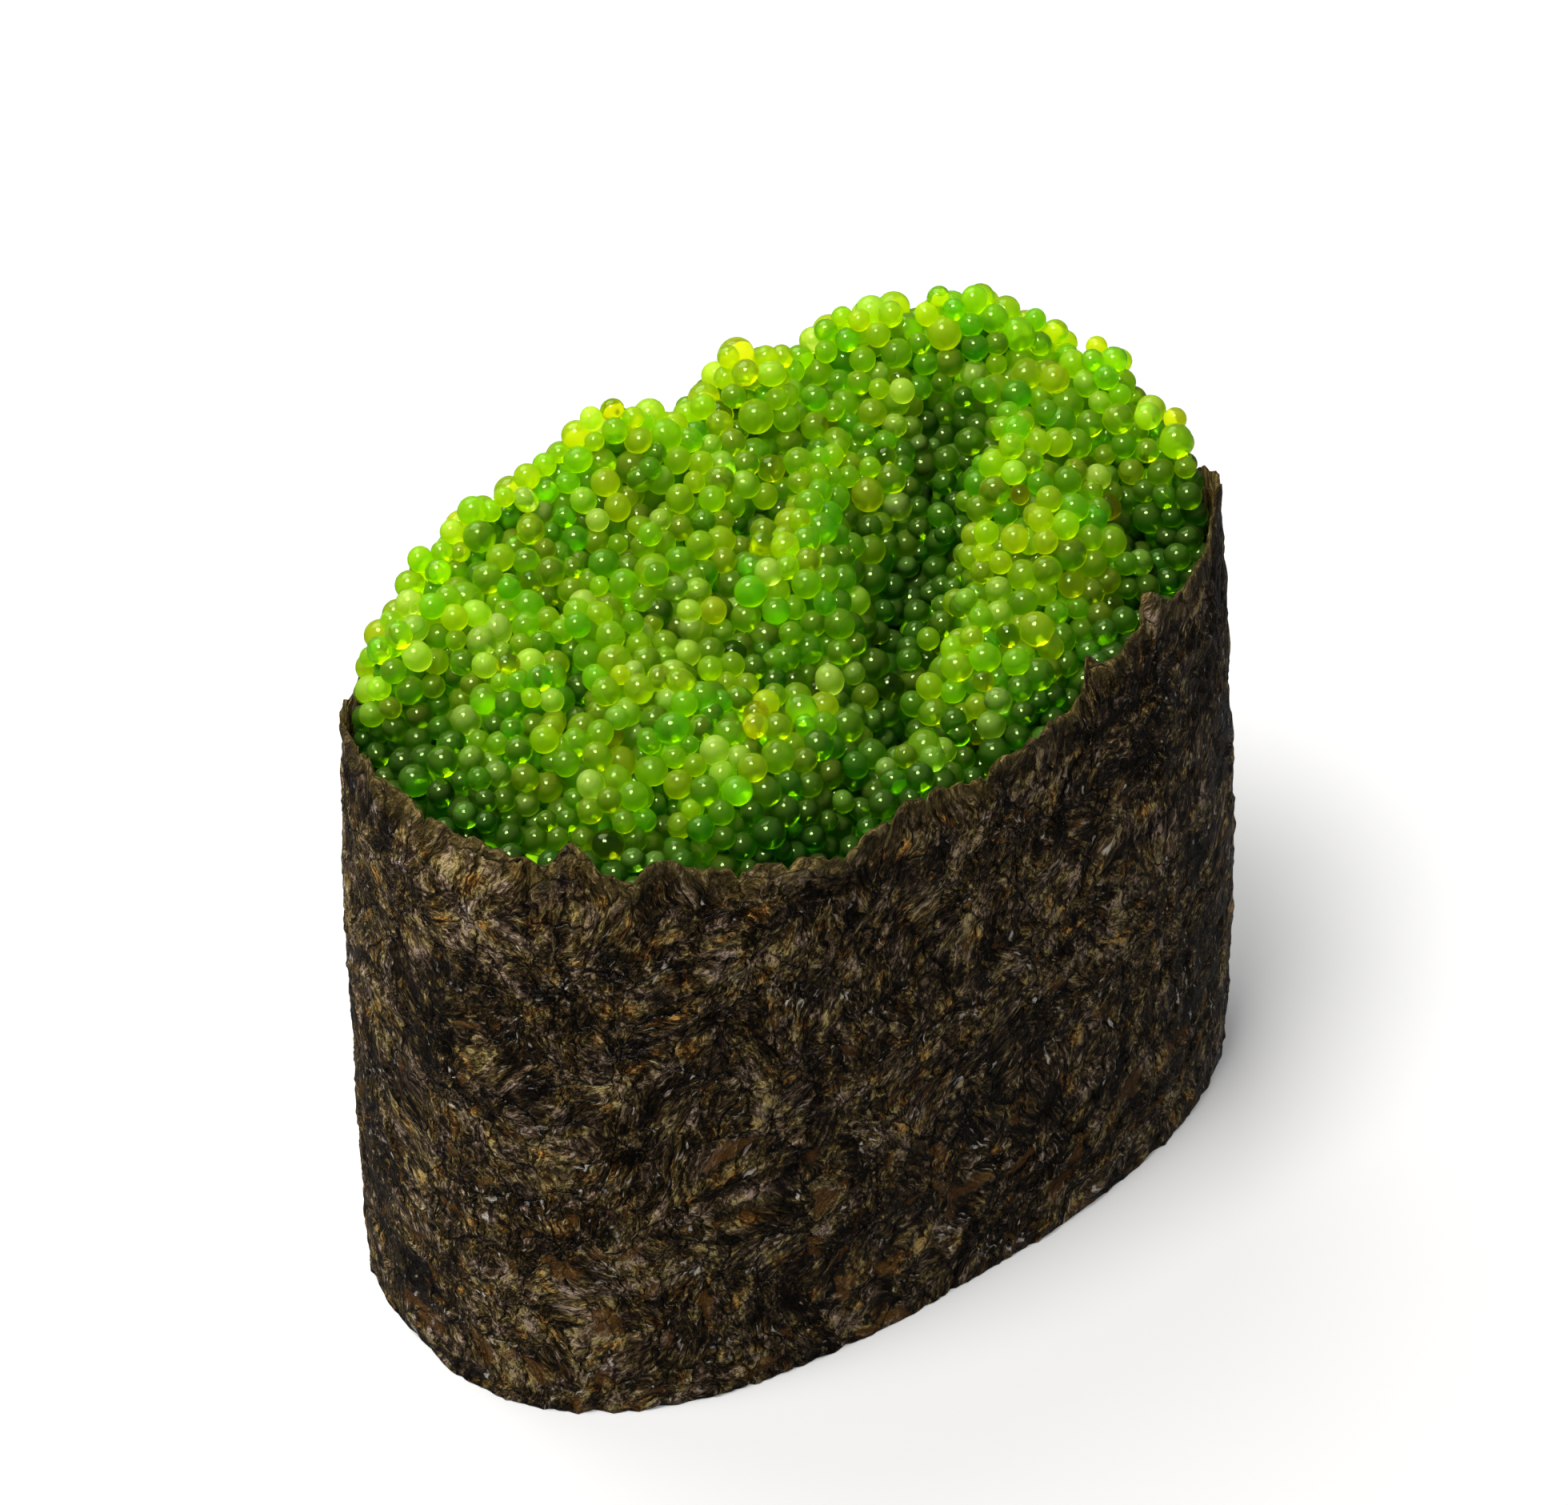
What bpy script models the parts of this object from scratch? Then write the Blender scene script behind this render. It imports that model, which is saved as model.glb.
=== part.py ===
"""Gunkan sushi: an oval band of pressed seaweed round a block of rice, heaped with green roe.

Metres, +Z up. The origin is the centre of the underside and +X runs along the oval. The
long side at -Y has the sagging stretch of the rim. The band's two ends overlap at +Y.
"""

import math
from collections import namedtuple

import bmesh
import bpy
import numpy as np
from mathutils import Vector, noise

MM = 0.001

# The outer face of the band: an oval with flattened sides, a superellipse.
HALF_LENGTH = 24.06 * MM
HALF_WIDTH = 13.80 * MM
OVAL_POWER = 2.52

# One sixth of a 210 mm sheet, set on edge.
STRIP_HEIGHT = 35.0 * MM
TAPER = 0.048           # how much narrower the top is than the foot, as a share of the width
SWELL = 0.017           # how much wider the middle is than a straight wall
BAND_THICKNESS = 0.4 * MM
GAP = 0.3 * MM          # clear space between any two surfaces that rest on each other

# The strip starts and ends on the +Y side, and its outer end lies over its inner end.
START_ANGLE = math.radians(74.0)
OVERLAP_ANGLE = math.radians(38.0)
STEP_OUT_ANGLE = math.radians(52.0)     # the turn over which it climbs on to its own start
STEP_IN_ANGLE = math.radians(12.0)      # the turn before the start where a filling draws back
BAND_COLUMNS = 122
BAND_ROWS = 7

# The torn rim: high at both ends of the oval, sagging along the middle of the -Y side.
RIM_HEIGHT = 36.5 * MM
RIM_SAG = 2.6 * MM
RIM_SAG_CENTRE = -3.0 * MM
RIM_SAG_REACH = 12.0 * MM
END_NOTCH_DEPTH = 1.5 * MM
END_NOTCH_ANGLE = math.radians(355.0)
END_NOTCH_REACH = math.radians(9.0)
END_PEAK_RISE = 0.8 * MM
END_PEAK_ANGLE = math.radians(188.0)
END_PEAK_REACH = math.radians(14.0)
RIM_WAVES = ((11, 0.22 * MM, 0.7), (23, 0.14 * MM, 2.0), (41, 0.10 * MM, 4.1))

# The rice fills the foot of the band and the roe fills it from there on.
RICE_HEIGHT = 24.0 * MM
RICE_EDGE_RADIUS = 1.2 * MM
RICE_EDGE_STEPS = 3
RICE_SIDE_STEPS = 3
RICE_COLUMNS = 16
RICE_ROWS = 12

# The roe meets the band low on the -Y side and high on the +Y side, and domes between.
ROE_EDGE_HEIGHT = 35.3 * MM
ROE_EDGE_TILT = 2.9 * MM
ROE_DOME_RISE = 3.0 * MM
ROE_DOME_TILT = 1.6 * MM
ROE_DOME_POWER = 7.0
ROE_SHOULDER_DROP = 1.6 * MM    # how much the heap rounds off against the +Y wall
ROE_SHOULDER_POWER = 12.0
CLUMP_SIZE = 2.4 * MM
CLUMP_RISE = 0.8 * MM
ROE_COLUMNS = 50
ROE_ROWS = 34
ROE_SIDE_STEPS = 2

Mound = namedtuple("Mound", "x y rise reach")

# The spooned heap: a ridge along the +Y rim that ends in the tallest mounds at +X, and
# lower lumps in front of it.
MOUNDS = (
    Mound(-19.5 * MM, 6.0 * MM, 3.4 * MM, 2.8 * MM),
    Mound(-15.5 * MM, 9.5 * MM, 3.0 * MM, 3.0 * MM),
    Mound(-9.5 * MM, 10.5 * MM, 2.6 * MM, 3.2 * MM),
    Mound(-3.0 * MM, 10.5 * MM, 3.6 * MM, 3.2 * MM),
    Mound(5.2 * MM, 10.5 * MM, 3.1 * MM, 3.0 * MM),
    Mound(12.0 * MM, 9.5 * MM, 2.4 * MM, 3.6 * MM),
    Mound(17.5 * MM, 7.5 * MM, 4.2 * MM, 3.6 * MM),
    Mound(21.0 * MM, 2.0 * MM, 4.6 * MM, 3.0 * MM),
    Mound(22.0 * MM, -4.0 * MM, 4.8 * MM, 3.2 * MM),
    Mound(14.0 * MM, -1.5 * MM, 2.6 * MM, 3.2 * MM),
    Mound(12.5 * MM, -5.5 * MM, 1.4 * MM, 2.8 * MM),
    Mound(8.2 * MM, -8.5 * MM, 1.2 * MM, 2.8 * MM),
    Mound(0.2 * MM, 0.4 * MM, 1.8 * MM, 3.2 * MM),
    Mound(-8.5 * MM, -8.2 * MM, 1.5 * MM, 2.6 * MM),
    Mound(-9.7 * MM, -2.0 * MM, 1.5 * MM, 3.6 * MM),
    Mound(-17.3 * MM, -0.5 * MM, 1.2 * MM, 3.2 * MM),
)

# The trough between the +X mounds and the middle of the heap, running down to the -Y rim.
HOLLOWS = (
    Mound(12.5 * MM, 4.2 * MM, -2.2 * MM, 2.6 * MM),
    Mound(6.5 * MM, -0.3 * MM, -2.2 * MM, 2.9 * MM),
    Mound(3.4 * MM, -4.1 * MM, -2.2 * MM, 2.7 * MM),
    Mound(1.0 * MM, -7.5 * MM, -1.5 * MM, 2.7 * MM),
)


def clear_scene():
    for item in list(bpy.data.objects):
        bpy.data.objects.remove(item, do_unlink=True)


def new_collection(name):
    collection = bpy.data.collections.new(name)
    bpy.context.scene.collection.children.link(collection)
    return collection


def new_material(name, colour, roughness):
    material = bpy.data.materials.new(name)
    material.use_nodes = True
    shader = material.node_tree.nodes["Principled BSDF"]
    shader.inputs["Base Color"].default_value = (*colour, 1.0)
    shader.inputs["Roughness"].default_value = roughness
    shader.inputs["Metallic"].default_value = 0.0
    return material


def signed_power(value, power):
    return math.copysign(abs(value) ** power, value)


def bell(distance, reach):
    return math.exp(-((distance / reach) ** 2))


def smooth_step(value):
    held = min(max(value, 0.0), 1.0)
    return held * held * (3.0 - 2.0 * held)


def oval_point(angle):
    """The point of the oval at the band's mid height."""
    x = HALF_LENGTH * signed_power(math.cos(angle), 2.0 / OVAL_POWER)
    y = HALF_WIDTH * signed_power(math.sin(angle), 2.0 / OVAL_POWER)
    return x, y


def oval_normal(x, y):
    across = signed_power(x / HALF_LENGTH, OVAL_POWER - 1.0) / HALF_LENGTH
    along = signed_power(y / HALF_WIDTH, OVAL_POWER - 1.0) / HALF_WIDTH
    length = math.hypot(across, along)
    return across / length, along / length


def wall_scale(z):
    """How wide the wall is at a height, against its mid height."""
    share = z / STRIP_HEIGHT - 0.5
    return 1.0 - TAPER * share - 4.0 * SWELL * share * share


def wall_point(angle, z, offset=0.0):
    """A point on the wall, moved outwards by the offset."""
    x, y = oval_point(angle)
    nx, ny = oval_normal(x, y)
    scale = wall_scale(z)
    return Vector((x * scale + nx * offset, y * scale + ny * offset, z))


def angle_apart(first, second):
    return (first - second + math.pi) % (2.0 * math.pi) - math.pi


def rim_height(angle):
    x, y = oval_point(angle)
    on_near_side = smooth_step(0.5 - y / HALF_WIDTH)
    sag = math.exp(-abs((x - RIM_SAG_CENTRE) / RIM_SAG_REACH) ** 4)
    height = RIM_HEIGHT - RIM_SAG * sag * on_near_side
    height -= END_NOTCH_DEPTH * bell(angle_apart(angle, END_NOTCH_ANGLE), END_NOTCH_REACH)
    height += END_PEAK_RISE * bell(angle_apart(angle, END_PEAK_ANGLE), END_PEAK_REACH)
    for count, rise, phase in RIM_WAVES:
        height += rise * math.sin(count * angle + phase)
    return height


def strip_angles(count):
    """Angles that step evenly along the strip, from its inner end to its outer end."""
    last = START_ANGLE + 2.0 * math.pi + OVERLAP_ANGLE
    fine = np.linspace(START_ANGLE, last, 4000)
    points = np.array([oval_point(angle) for angle in fine])
    steps = np.hypot(*np.diff(points, axis=0).T)
    lengths = np.concatenate(([0.0], np.cumsum(steps)))
    even = np.linspace(0.0, lengths[-1], count)
    return np.interp(even, lengths, fine)


def strip_offset(angle):
    """How far the strip stands off the oval where it climbs over its own start."""
    climb_end = START_ANGLE + 2.0 * math.pi
    climb = (angle - climb_end + STEP_OUT_ANGLE) / STEP_OUT_ANGLE
    return (BAND_THICKNESS + GAP) * smooth_step(climb)


def finish_object(name, mesh, material, collection):
    mesh.materials.append(material)
    mesh.shade_smooth()
    mesh.set_sharp_from_angle(angle=math.radians(40.0))
    item = bpy.data.objects.new(name, mesh)
    collection.objects.link(item)
    return item


def make_band(collection):
    """The seaweed strip: a flat grid wrapped round the oval, thickened inwards."""
    angles = strip_angles(BAND_COLUMNS + 1)
    shape = bmesh.new()
    bmesh.ops.create_grid(shape, x_segments=BAND_COLUMNS, y_segments=BAND_ROWS, size=1.0)
    for vertex in shape.verts:
        column = round((vertex.co.x + 1.0) / 2.0 * BAND_COLUMNS)
        up = (vertex.co.y + 1.0) / 2.0
        angle = angles[column]
        vertex.co = wall_point(angle, up * rim_height(angle), strip_offset(angle))
    bmesh.ops.recalc_face_normals(shape, faces=shape.faces)
    mesh = bpy.data.meshes.new("nori")
    shape.to_mesh(mesh)
    shape.free()
    colour = (0.045, 0.040, 0.026)
    band = finish_object("nori", mesh, new_material("nori", colour, 0.45), collection)
    thicken = band.modifiers.new("thickness", "SOLIDIFY")
    thicken.thickness = BAND_THICKNESS
    thicken.offset = -1.0
    thicken.use_even_offset = True
    return band


def filling_offset(angle):
    """How far the band's inner face stands off where a filling follows it round."""
    turned = (angle - START_ANGLE) % (2.0 * math.pi) + START_ANGLE
    before_start = START_ANGLE + 2.0 * math.pi - turned
    return strip_offset(turned) * smooth_step(before_start / STEP_IN_ANGLE)


def square_to_disc(across, along):
    """Maps a square grid to a round one: an angle and a share of the radius."""
    x = across * math.sqrt(1.0 - along * along / 2.0)
    y = along * math.sqrt(1.0 - across * across / 2.0)
    return math.atan2(y, x), min(math.hypot(x, y), 1.0)


def inside_point(angle, share, z, inset=0.0):
    """A point inside the band, from the axis at share 0 to clear of its wall at share 1."""
    clear = filling_offset(angle) - BAND_THICKNESS - GAP - inset
    edge = wall_point(angle, z, clear)
    return Vector((edge.x * share, edge.y * share, z))


def heap_height(angle, share):
    """The top of the roe, as a height above the underside."""
    flat = inside_point(angle, share, STRIP_HEIGHT)
    side = flat.y / HALF_WIDTH
    height = ROE_EDGE_HEIGHT + ROE_EDGE_TILT * side
    height += (ROE_DOME_RISE + ROE_DOME_TILT * side) * (1.0 - share ** ROE_DOME_POWER)
    height -= ROE_SHOULDER_DROP * max(side, 0.0) * share ** ROE_SHOULDER_POWER
    for mound in MOUNDS + HOLLOWS:
        distance = math.hypot(flat.x - mound.x, flat.y - mound.y)
        height += mound.rise * bell(distance, mound.reach)
    height += CLUMP_RISE * noise.noise(flat / CLUMP_SIZE)
    return height


def place_key(point):
    return tuple(round(value, 7) for value in point)


def add_filling_top(shape, columns, rows, top_height):
    """The upper surface of a filling, as a grid fitted to the oval.

    Returns the angle and height of each point on its edge.
    """
    bmesh.ops.create_grid(shape, x_segments=columns, y_segments=rows, size=1.0)
    edge_places = {}
    for vertex in shape.verts:
        angle, share = square_to_disc(vertex.co.x, vertex.co.y)
        height = top_height(angle, share)
        vertex.co = inside_point(angle, share, height)
        edge_places[place_key(vertex.co)] = (angle, height)
    return edge_places


def extrude_side(shape, edge_places, levels):
    """Draws the open edge down through levels and closes it underneath.

    A level is a share of the height above a floor, the floor's height and an inset.
    """
    rim = [edge for edge in shape.edges if edge.is_boundary]
    for up, floor, inset in levels:
        made = bmesh.ops.extrude_edge_only(shape, edges=rim)["geom"]
        rim = [item for item in made if isinstance(item, bmesh.types.BMEdge)]
        moved_places = {}
        for vertex in [item for item in made if isinstance(item, bmesh.types.BMVert)]:
            angle, top = edge_places[place_key(vertex.co)]
            vertex.co = inside_point(angle, 1.0, floor + (top - floor) * up, inset)
            moved_places[place_key(vertex.co)] = (angle, top)
        edge_places = moved_places
    bmesh.ops.holes_fill(shape, edges=rim, sides=0)


def close_filling(shape, name, colour, roughness, collection):
    bmesh.ops.triangulate(shape, faces=shape.faces)
    bmesh.ops.recalc_face_normals(shape, faces=shape.faces)
    mesh = bpy.data.meshes.new(name)
    shape.to_mesh(mesh)
    shape.free()
    material = new_material(name, colour, roughness)
    return finish_object(name, mesh, material, collection)


def make_roe(collection):
    """The heap of roe, from the rice up to its uneven outline."""
    shape = bmesh.new()
    edge_places = add_filling_top(shape, ROE_COLUMNS, ROE_ROWS, heap_height)
    steps = range(ROE_SIDE_STEPS - 1, -1, -1)
    levels = [(step / ROE_SIDE_STEPS, RICE_HEIGHT + GAP, 0.0) for step in steps]
    extrude_side(shape, edge_places, levels)
    return close_filling(shape, "roe", (0.20, 0.42, 0.03), 0.25, collection)


def rice_levels():
    """The side of the rice, then its rounded lower edge down to the flat underside."""
    shares = [step / RICE_SIDE_STEPS for step in range(RICE_SIDE_STEPS - 1, -1, -1)]
    levels = [(share, RICE_EDGE_RADIUS, 0.0) for share in shares]
    for step in range(1, RICE_EDGE_STEPS + 1):
        turn = math.pi / 2.0 * step / RICE_EDGE_STEPS
        z = RICE_EDGE_RADIUS * (1.0 - math.sin(turn))
        levels.append((0.0, z, RICE_EDGE_RADIUS * (1.0 - math.cos(turn))))
    return levels


def make_rice(collection):
    """The block of rice that the band is wrapped round and that the sushi stands on."""
    shape = bmesh.new()
    level_top = lambda angle, share: RICE_HEIGHT
    edge_places = add_filling_top(shape, RICE_COLUMNS, RICE_ROWS, level_top)
    extrude_side(shape, edge_places, rice_levels())
    return close_filling(shape, "rice", (0.82, 0.80, 0.72), 0.5, collection)


def main():
    clear_scene()
    collection = new_collection("gunkan_sushi")
    make_band(collection)
    make_rice(collection)
    make_roe(collection)


main()
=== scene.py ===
import math

import bmesh
import bpy
import numpy as np
from mathutils import Matrix, Vector
from mathutils.bvhtree import BVHTree
from mathutils.kdtree import KDTree


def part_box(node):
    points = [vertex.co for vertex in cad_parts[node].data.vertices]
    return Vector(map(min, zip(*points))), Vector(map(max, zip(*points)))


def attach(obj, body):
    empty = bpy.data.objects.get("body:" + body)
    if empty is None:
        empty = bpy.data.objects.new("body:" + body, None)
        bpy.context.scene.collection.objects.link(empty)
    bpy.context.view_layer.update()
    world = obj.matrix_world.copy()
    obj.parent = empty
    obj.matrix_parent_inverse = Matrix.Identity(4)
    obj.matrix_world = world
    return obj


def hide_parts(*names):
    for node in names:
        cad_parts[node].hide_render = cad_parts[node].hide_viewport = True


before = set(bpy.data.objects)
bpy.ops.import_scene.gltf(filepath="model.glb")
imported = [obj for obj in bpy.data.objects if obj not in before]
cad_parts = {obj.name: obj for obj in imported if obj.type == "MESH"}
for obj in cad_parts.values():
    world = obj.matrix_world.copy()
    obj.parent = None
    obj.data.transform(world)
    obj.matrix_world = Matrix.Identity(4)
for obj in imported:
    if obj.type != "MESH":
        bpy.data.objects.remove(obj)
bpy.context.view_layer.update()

MM = 0.001
RNG = np.random.default_rng(20)

# The band, as part.py makes it: an oval with flattened sides, wrapped by one strip.
HALF_LENGTH = 24.06
HALF_WIDTH = 13.80
OVAL_POWER = 2.52
STRIP_HEIGHT = 35.0
TAPER = 0.048
SWELL = 0.017
BAND_THICKNESS = 0.4
GAP = 0.3
START_ANGLE = math.radians(74.0)
OVERLAP_ANGLE = math.radians(38.0)
STEP_OUT_ANGLE = math.radians(52.0)
RIM_HEIGHT = 36.5
RIM_SAG = 2.6
RIM_SAG_CENTRE = -3.0
RIM_SAG_REACH = 12.0
END_NOTCH = (1.5, math.radians(355.0), math.radians(9.0))
END_PEAK = (0.8, math.radians(188.0), math.radians(14.0))
RIM_WAVES = ((11, 0.22, 0.7), (23, 0.14, 2.0), (41, 0.10, 4.1))

ROE_LOW, ROE_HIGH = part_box("roe")
RICE_LOW, RICE_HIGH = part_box("rice")


# ---------------------------------------------------------------- noise

def lattice_hash(*cells):
    """A repeatable pseudo-random number from 0 to 1 for each lattice cell."""
    total = np.zeros(np.shape(cells[0]), np.uint32)
    for cell, prime in zip(cells, (73856093, 19349663, 83492791)):
        total ^= (cell.astype(np.int64) * prime & 0xFFFFFFFF).astype(np.uint32)
    total ^= total >> np.uint32(13)
    total = total * np.uint32(1274126177)
    total ^= total >> np.uint32(16)
    return total.astype(np.float64) / 4294967295.0


def smooth_noise(x, y, seed=0):
    """Gradient noise of a plane, about -1 to 1."""
    left = np.floor(x)
    low = np.floor(y)
    across = x - left
    up = y - low
    ease_x = across * across * across * (across * (across * 6 - 15) + 10)
    ease_y = up * up * up * (up * (up * 6 - 15) + 10)
    corners = []
    for dy in (0, 1):
        for dx in (0, 1):
            turn = 2 * math.pi * lattice_hash(left + dx, low + dy, np.full_like(left, seed))
            corners.append(np.cos(turn) * (across - dx) + np.sin(turn) * (up - dy))
    bottom = corners[0] + ease_x * (corners[1] - corners[0])
    top = corners[2] + ease_x * (corners[3] - corners[2])
    return 1.5 * (bottom + ease_y * (top - bottom))


def layered_noise(x, y, octaves, seed=0):
    total = np.zeros(np.broadcast(x, y).shape)
    size = 1.0
    for octave in range(octaves):
        total += size * smooth_noise(x / size, y / size, seed + octave)
        size *= 0.5
    return total


# ---------------------------------------------------------------- the band's shape

def signed_power(value, power):
    return np.sign(value) * np.abs(value) ** power


def smooth_step(value):
    held = np.clip(value, 0.0, 1.0)
    return held * held * (3.0 - 2.0 * held)


def bell(distance, reach):
    return np.exp(-((distance / reach) ** 2))


def oval_point(angle):
    x = HALF_LENGTH * signed_power(np.cos(angle), 2.0 / OVAL_POWER)
    y = HALF_WIDTH * signed_power(np.sin(angle), 2.0 / OVAL_POWER)
    return x, y


def oval_normal(x, y):
    across = signed_power(x / HALF_LENGTH, OVAL_POWER - 1.0) / HALF_LENGTH
    along = signed_power(y / HALF_WIDTH, OVAL_POWER - 1.0) / HALF_WIDTH
    length = np.hypot(across, along)
    return across / length, along / length


def wall_scale(z):
    share = z / STRIP_HEIGHT - 0.5
    return 1.0 - TAPER * share - 4.0 * SWELL * share * share


def wall_point(angle, z, offset):
    """Points on the wall in millimetres, moved outwards by the offset."""
    x, y = oval_point(angle)
    nx, ny = oval_normal(x, y)
    scale = wall_scale(z)
    return np.stack(np.broadcast_arrays(x * scale + nx * offset, y * scale + ny * offset, z), -1)


def angle_apart(first, second):
    return (first - second + math.pi) % (2.0 * math.pi) - math.pi


def rim_height(angle):
    x, y = oval_point(angle)
    on_near_side = smooth_step(0.5 - y / HALF_WIDTH)
    sag = np.exp(-np.abs((x - RIM_SAG_CENTRE) / RIM_SAG_REACH) ** 4)
    height = RIM_HEIGHT - RIM_SAG * sag * on_near_side
    height = height - END_NOTCH[0] * bell(angle_apart(angle, END_NOTCH[1]), END_NOTCH[2])
    height = height + END_PEAK[0] * bell(angle_apart(angle, END_PEAK[1]), END_PEAK[2])
    for count, rise, phase in RIM_WAVES:
        height = height + rise * np.sin(count * angle + phase)
    return height


def strip_offset(angle):
    climb = (angle - START_ANGLE - 2.0 * math.pi + STEP_OUT_ANGLE) / STEP_OUT_ANGLE
    return (BAND_THICKNESS + GAP) * smooth_step(climb)


def strip_angles(count):
    """Angles that step evenly along the strip, and the length that each has reached."""
    fine = np.linspace(START_ANGLE, START_ANGLE + 2.0 * math.pi + OVERLAP_ANGLE, 6000)
    x, y = oval_point(fine)
    lengths = np.concatenate(([0.0], np.cumsum(np.hypot(np.diff(x), np.diff(y)))))
    even = np.linspace(0.0, lengths[-1], count)
    return np.interp(even, lengths, fine), even


# ---------------------------------------------------------------- helpers

def new_piece(name, mesh, material, node):
    piece = bpy.data.objects.new(name, mesh)
    bpy.context.scene.collection.objects.link(piece)
    mesh.materials.append(material)
    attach(piece, "root")
    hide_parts(node)
    return piece


def add_values(mesh, name, values):
    attribute = mesh.attributes.new(name, "FLOAT", "POINT")
    attribute.data.foreach_set("value", np.ascontiguousarray(values, np.float32).ravel())


def add_vectors(mesh, name, vectors):
    attribute = mesh.attributes.new(name, "FLOAT_VECTOR", "POINT")
    attribute.data.foreach_set("vector", np.ascontiguousarray(vectors, np.float32).ravel())


def mesh_from_arrays(name, points, faces):
    """A mesh from points in millimetres and faces that all have as many corners."""
    mesh = bpy.data.meshes.new(name)
    corners = faces.shape[1]
    mesh.vertices.add(len(points))
    mesh.vertices.foreach_set("co", (points * MM).astype(np.float32).ravel())
    mesh.loops.add(faces.size)
    mesh.loops.foreach_set("vertex_index", faces.astype(np.int32).ravel())
    mesh.polygons.add(len(faces))
    mesh.polygons.foreach_set("loop_start", np.arange(0, faces.size, corners, dtype=np.int32))
    mesh.update(calc_edges=True)
    mesh.shade_smooth()
    return mesh


class Nodes:
    """Short calls for building one material's node tree."""

    def __init__(self, name):
        self.material = bpy.data.materials.new(name)
        self.material.use_nodes = True
        self.nodes = self.material.node_tree.nodes
        self.links = self.material.node_tree.links
        self.shader = self.nodes["Principled BSDF"]

    def add(self, kind, **values):
        node = self.nodes.new("ShaderNode" + kind)
        for name, value in values.items():
            setattr(node, name, value)
        return node

    def put(self, value, socket):
        if isinstance(value, bpy.types.NodeSocket):
            self.links.new(value, socket)
        else:
            socket.default_value = value

    def attribute(self, name, output="Fac"):
        return self.add("Attribute", attribute_name=name).outputs[output]

    def maths(self, operation, first, second=0.0, clamp=False):
        node = self.add("Math", operation=operation, use_clamp=clamp)
        self.put(first, node.inputs[0])
        self.put(second, node.inputs[1])
        return node.outputs[0]

    def scaled(self, vector, scale, shift=(0.0, 0.0, 0.0)):
        node = self.add("Mapping")
        self.put(vector, node.inputs["Vector"])
        node.inputs["Scale"].default_value = scale
        node.inputs["Location"].default_value = shift
        return node.outputs["Vector"]

    def rotated(self, vector, angle):
        node = self.add("VectorRotate", rotation_type="Z_AXIS")
        self.put(vector, node.inputs["Vector"])
        self.put(angle, node.inputs["Angle"])
        return node.outputs["Vector"]

    def shifted(self, vector, colour, reach):
        """The vector moved by up to half the reach, along a noise's colour."""
        centred = self.add("VectorMath", operation="SUBTRACT")
        self.put(colour, centred.inputs[0])
        centred.inputs[1].default_value = (0.5, 0.5, 0.5)
        scaled = self.add("VectorMath", operation="MULTIPLY")
        self.put(centred.outputs[0], scaled.inputs[0])
        scaled.inputs[1].default_value = (reach, reach, 0.0)
        moved = self.add("VectorMath", operation="ADD")
        self.put(vector, moved.inputs[0])
        self.put(scaled.outputs[0], moved.inputs[1])
        return moved.outputs[0]

    def cells(self, vector):
        """A colour of three random numbers for each cell."""
        node = self.add("TexVoronoi", feature="F1")
        self.put(vector, node.inputs["Vector"])
        node.inputs["Scale"].default_value = 1.0
        return node.outputs["Color"]

    def edge(self, vector):
        node = self.add("TexVoronoi", feature="DISTANCE_TO_EDGE")
        self.put(vector, node.inputs["Vector"])
        node.inputs["Scale"].default_value = 1.0
        return node.outputs["Distance"]

    def part(self, colour, index):
        node = self.add("SeparateColor")
        self.put(colour, node.inputs["Color"])
        return node.outputs[index]

    def total(self, parts):
        """The sum of (value, weight) pairs."""
        result = 0.0
        for value, weight in parts:
            result = self.maths("ADD", result, self.maths("MULTIPLY", value, weight))
        return result

    def noise(self, vector, detail=3.0, roughness=0.6, distortion=0.0):
        node = self.add("TexNoise")
        self.put(vector, node.inputs["Vector"])
        node.inputs["Scale"].default_value = 1.0
        node.inputs["Detail"].default_value = detail
        node.inputs["Roughness"].default_value = roughness
        node.inputs["Distortion"].default_value = distortion
        return node.outputs["Fac"]

    def mix(self, share, first, second):
        node = self.add("Mix", data_type="FLOAT")
        self.put(share, node.inputs[0])
        self.put(first, node.inputs[2])
        self.put(second, node.inputs[3])
        return node.outputs[0]

    def mixed(self, share, first, second):
        node = self.add("MixShader")
        self.put(share, node.inputs["Fac"])
        self.put(first, node.inputs[1])
        self.put(second, node.inputs[2])
        return node.outputs["Shader"]

    def blend(self, share, first, second, kind="MIX"):
        node = self.add("Mix", data_type="RGBA", blend_type=kind)
        self.put(share, node.inputs[0])
        self.put(first if isinstance(first, bpy.types.NodeSocket) else (*first, 1.0), node.inputs[6])
        self.put(second if isinstance(second, bpy.types.NodeSocket) else (*second, 1.0), node.inputs[7])
        return node.outputs[2]

    def steps(self, value, low, high):
        node = self.add("MapRange", interpolation_type="SMOOTHSTEP")
        self.put(value, node.inputs["Value"])
        node.inputs["From Min"].default_value = low
        node.inputs["From Max"].default_value = high
        return node.outputs["Result"]

    def ramp(self, value, stops):
        node = self.add("ValToRGB")
        elements = node.color_ramp.elements
        while len(elements) < len(stops):
            elements.new(0.5)
        for element, (position, colour) in zip(elements, stops):
            element.position = position
            element.color = (*colour, 1.0)
        self.put(value, node.inputs["Fac"])
        return node.outputs["Color"]


# ---------------------------------------------------------------- roe

EGG_RADIUS = 0.645
EGG_SPREAD = 0.075
SHELL_DEPTH = 3.0
EGG_DENSITY = 0.55
HEAP_STEP = 0.4
LOWEST_EGG = 29.5
VISIBLE_DEPTH = 1.35


# The gap between the long heap and the lump at its near side, sunk into the heap and darkened with painted
# shade on its eggs, in millimetres.
GAP_LINE = ((11.3, 2.2), (7.8, -0.3), (4.4, -2.8), (1.1, -6.1), (-1.4, -8.5), (-6.9, -10.1))
GAP_REACH = 1.9


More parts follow.
